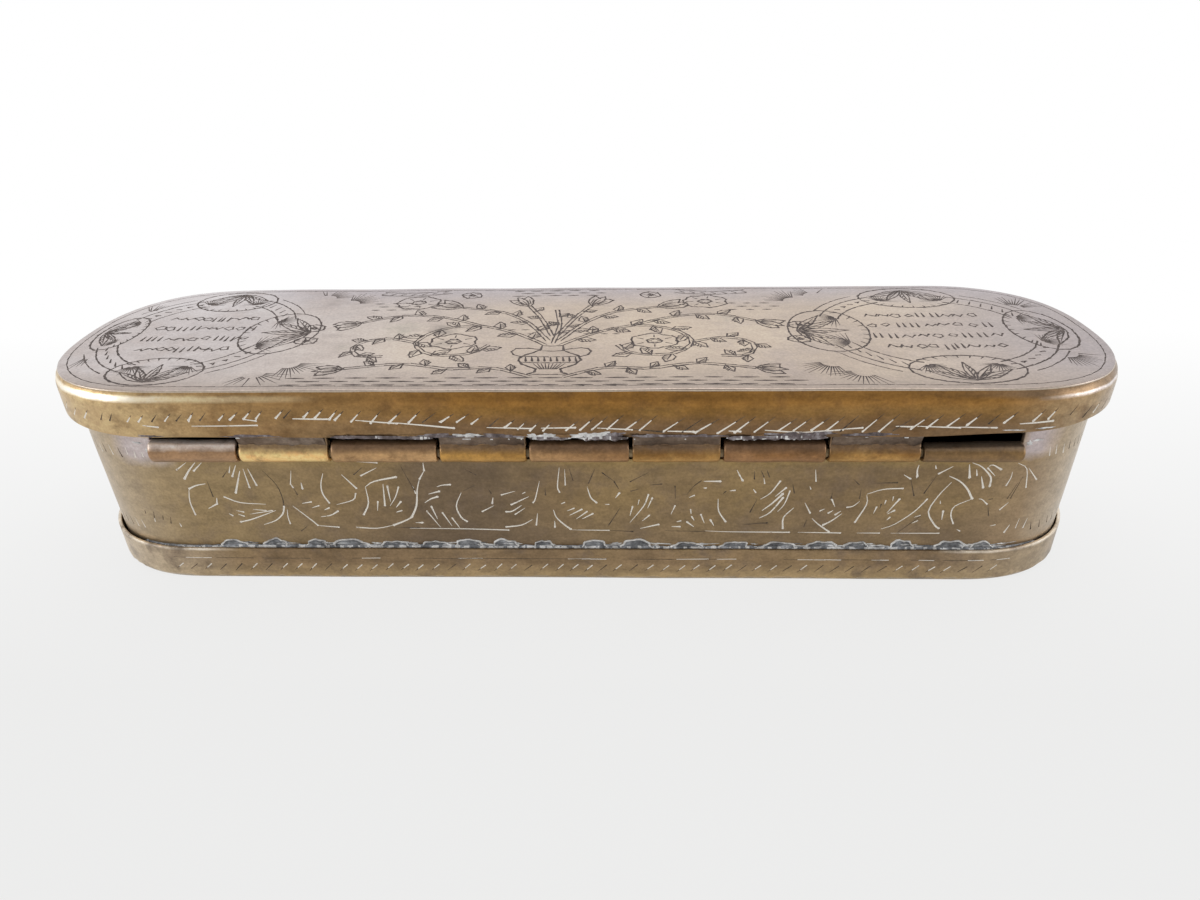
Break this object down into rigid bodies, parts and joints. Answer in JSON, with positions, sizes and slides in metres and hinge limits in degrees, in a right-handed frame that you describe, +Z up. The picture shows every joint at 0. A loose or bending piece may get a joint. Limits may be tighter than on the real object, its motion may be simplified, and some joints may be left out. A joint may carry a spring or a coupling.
{
  "type": "tobacco box",
  "caption": "Long oval brass and copper tobacco box: rimmed foot, tapered wall, and an engraved flat lid with a deep skirt on a barrel hinge along one long side.",
  "frame": {"origin": "centre of the box on the surface that it stands on", "axes": "+X along the hinge, +Y from the hinge side to the opening side, +Z up"},
  "size_m": [0.165, 0.0452, 0.0342],
  "materials": {
    "copper_plate": "worn engraved copper, satin, with dark stains",
    "brass_sheet": "aged olive-brown brass, satin, engraved and rubbed bright on the edges",
    "hinge_brass": "rubbed brass, satin",
    "pin_wire": "dull drawn wire",
    "solder": "grey soft solder, uneven, with pale residue"
  },
  "bodies": {
    "box": {"body_wall": "brass_sheet", "base_plate": "copper_plate", "base_rim": "brass_sheet", "foot_solder_hinge_side": "solder", "foot_solder_opening_side": "solder", "body_knuckle_1": "hinge_brass", "body_knuckle_3": "hinge_brass", "body_knuckle_5": "hinge_brass", "body_knuckle_7": "hinge_brass", "body_knuckle_9": "hinge_brass", "hinge_pin": "pin_wire"},
    "lid": {"lid_top_plate": "copper_plate", "lid_skirt": "brass_sheet", "lid_knuckle_2": "hinge_brass", "lid_knuckle_4": "hinge_brass", "lid_knuckle_6": "hinge_brass", "lid_knuckle_8": "hinge_brass", "lid_solder_2": "solder", "lid_solder_4": "solder", "lid_solder_6": "solder", "lid_solder_8": "solder"}
  },
  "joints": [
    {"name": "lid_hinge", "type": "hinge", "parent": "box", "child": "lid", "pos_m": [0, -0.02105, 0.02365], "axis": [1, 0, 0], "range_deg": [0, 125]}
  ]
}
